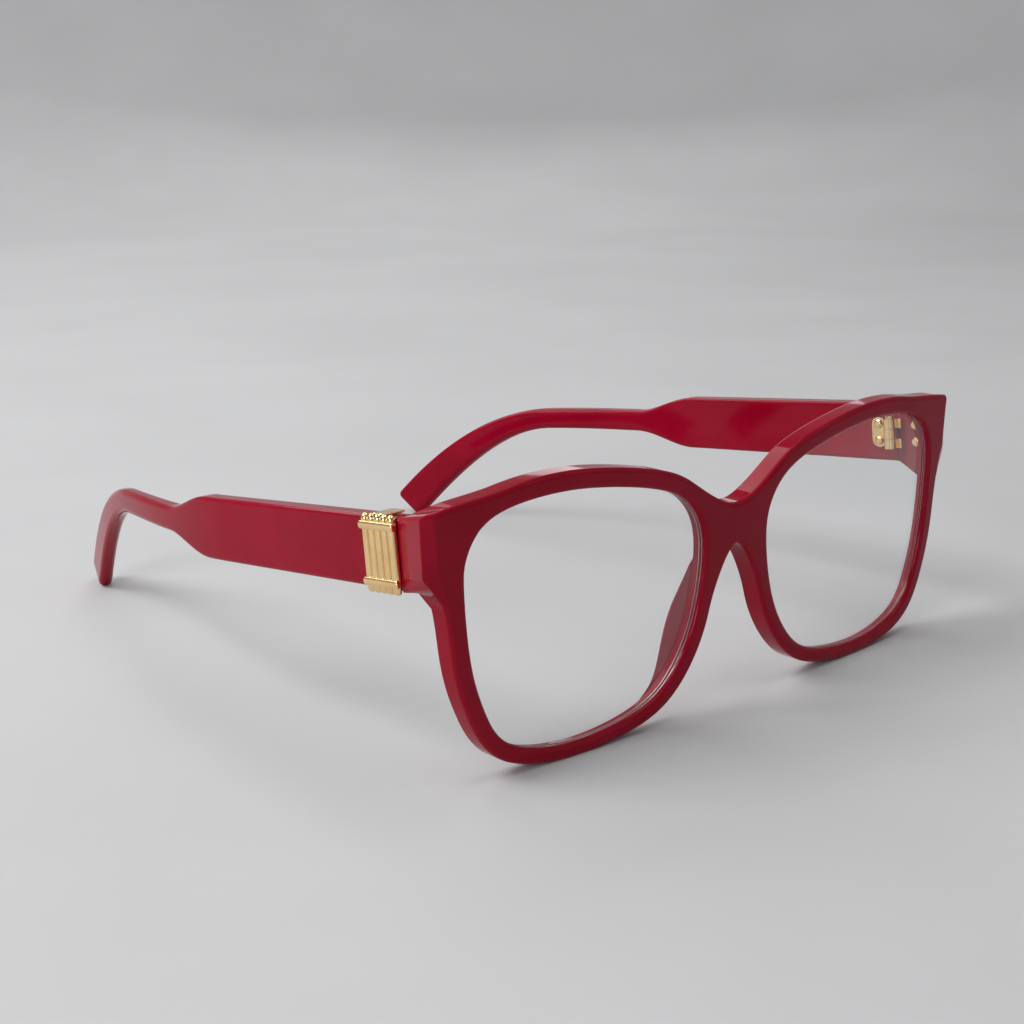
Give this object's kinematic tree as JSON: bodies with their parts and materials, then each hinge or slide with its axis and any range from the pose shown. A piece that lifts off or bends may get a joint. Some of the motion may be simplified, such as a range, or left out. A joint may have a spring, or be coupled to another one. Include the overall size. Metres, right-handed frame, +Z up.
{
  "type": "eyeglasses",
  "caption": "Full-rim acetate eyeglasses: grooved rims with clear lenses, glued nose pads, barrel hinges and folding hooked temples with a reeded gold fitting.",
  "frame": {"origin": "middle of the part's box, on the surface that the opened glasses stand on", "axes": "+X towards the wearer's left, +Y from the front back along the temples, +Z up"},
  "size_m": [0.138, 0.1486, 0.0496],
  "materials": {
    "acetate": "polished crimson cellulose acetate",
    "gold_metal": "polished yellow gold plate",
    "steel": "plain drawn wire",
    "lens": "clear, polished"
  },
  "bodies": {
    "frame": {"front_frame": "acetate", "lens_left": "lens", "nose_pad_left": "acetate", "front_hinge_left": "gold_metal", "hinge_screw_left": "gold_metal", "front_hinge_screw_upper_left": "gold_metal", "front_hinge_screw_lower_left": "gold_metal", "lens_right": "lens", "nose_pad_right": "acetate", "front_hinge_right": "gold_metal", "hinge_screw_right": "gold_metal", "front_hinge_screw_upper_right": "gold_metal", "front_hinge_screw_lower_right": "gold_metal"},
    "temple_left": {"temple_left": "acetate", "core_wire_left": "steel", "temple_hinge_left": "gold_metal", "temple_rivet_upper_left": "gold_metal", "temple_rivet_lower_left": "gold_metal", "ornament_left": "gold_metal"},
    "temple_right": {"temple_right": "acetate", "core_wire_right": "steel", "temple_hinge_right": "gold_metal", "temple_rivet_upper_right": "gold_metal", "temple_rivet_lower_right": "gold_metal", "ornament_right": "gold_metal"}
  },
  "joints": [
    {"name": "temple_left_fold", "type": "hinge", "parent": "frame", "child": "temple_left", "pos_m": [0.0614, -0.06091, 0.03836], "axis": [0, 0.1167, 0.9932], "range_deg": [0, 84.3]},
    {"name": "temple_right_fold", "type": "hinge", "parent": "frame", "child": "temple_right", "pos_m": [-0.0614, -0.06091, 0.03836], "axis": [0, -0.1167, -0.9932], "range_deg": [0, 68]}
  ]
}
